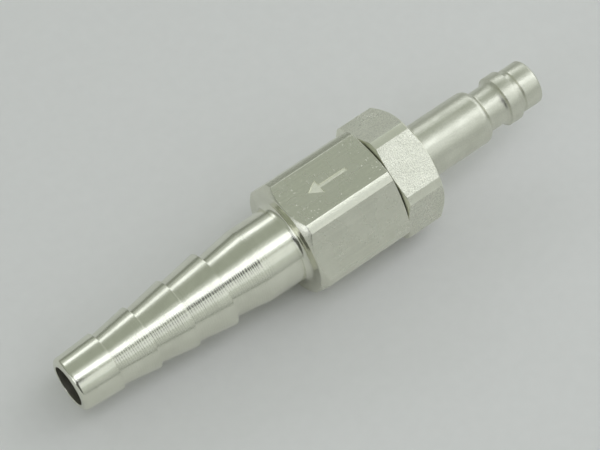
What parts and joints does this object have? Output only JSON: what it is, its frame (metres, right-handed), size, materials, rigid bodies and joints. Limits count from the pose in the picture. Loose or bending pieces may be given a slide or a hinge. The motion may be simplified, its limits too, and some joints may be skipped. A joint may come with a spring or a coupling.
{
  "type": "quick-connect plug with hose barb and check valve",
  "caption": "Nickel-plated quick-connect gas plug with a stepped hose-barb tail, two hexagons screwed together and a spring-loaded check valve inside.",
  "frame": {"origin": "on the part's axis, halfway between the open end of the barb and the end of the plug's nose", "axes": "+X along the axis from the hose barb to the plug's nose; +Z out of the flat of the longer hexagon that carries the flow arrow"},
  "size_m": [0.068, 0.0156, 0.0156],
  "materials": {
    "nickel_plate": "satin",
    "seal_rubber": "matte",
    "bare_brass": "satin",
    "spring_steel": "satin"
  },
  "bodies": {
    "housing": {"barb_body": "nickel_plate", "plug_body": "nickel_plate", "body_o_ring": "seal_rubber", "valve_guide": "spring_steel", "retaining_ring": "spring_steel", "valve_spring": "spring_steel"},
    "poppet": {"valve_poppet": "bare_brass", "poppet_o_ring": "seal_rubber"}
  },
  "joints": [
    {"name": "poppet_slide", "type": "slide", "parent": "housing", "child": "poppet", "axis": [1, 0, 0], "range_m": [-0.0015, 0], "stiffness_N_per_m": 250, "springref_m": 0.002, "deforming": ["valve_spring"]}
  ]
}
